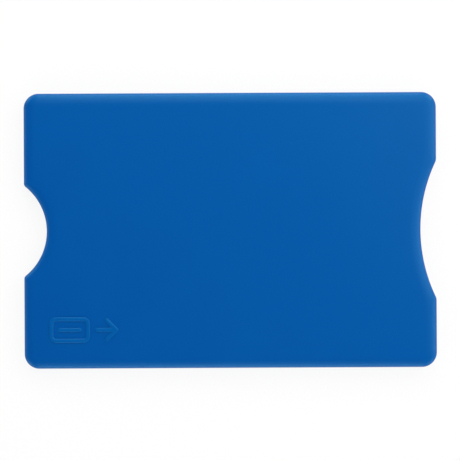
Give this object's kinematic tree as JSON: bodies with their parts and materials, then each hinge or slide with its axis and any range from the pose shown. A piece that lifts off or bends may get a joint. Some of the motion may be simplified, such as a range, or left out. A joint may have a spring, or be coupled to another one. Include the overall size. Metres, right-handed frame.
{
  "type": "rigid card holder",
  "caption": "Flat moulded sleeve for a payment card, with foil shielding inside, a thumb notch at the closed end and a wide grab notch at the open mouth.",
  "frame": {"origin": "centre of the outline, on the plane of the back face", "axes": "+X along the length and out of the card mouth, +Y across towards the upper side of the front face, +Z out of the front face"},
  "size_m": [0.091, 0.0606, 0.004],
  "materials": {
    "blue_plastic": "fine spark-eroded satin",
    "clear_adhesive": "clear pressure-sensitive adhesive",
    "bare_aluminium": "bright rolled foil",
    "clear_film": "clear glossy polyester film"
  },
  "bodies": {
    "root": {"front_shell": "blue_plastic", "upper_rail": "blue_plastic", "lower_rail": "blue_plastic", "rear_cover": "blue_plastic", "front_foil_adhesive": "clear_adhesive", "front_shield_foil": "bare_aluminium", "front_slip_film": "clear_film", "rear_foil_adhesive": "clear_adhesive", "rear_shield_foil": "bare_aluminium", "rear_slip_film": "clear_film"}
  },
  "joints": []
}
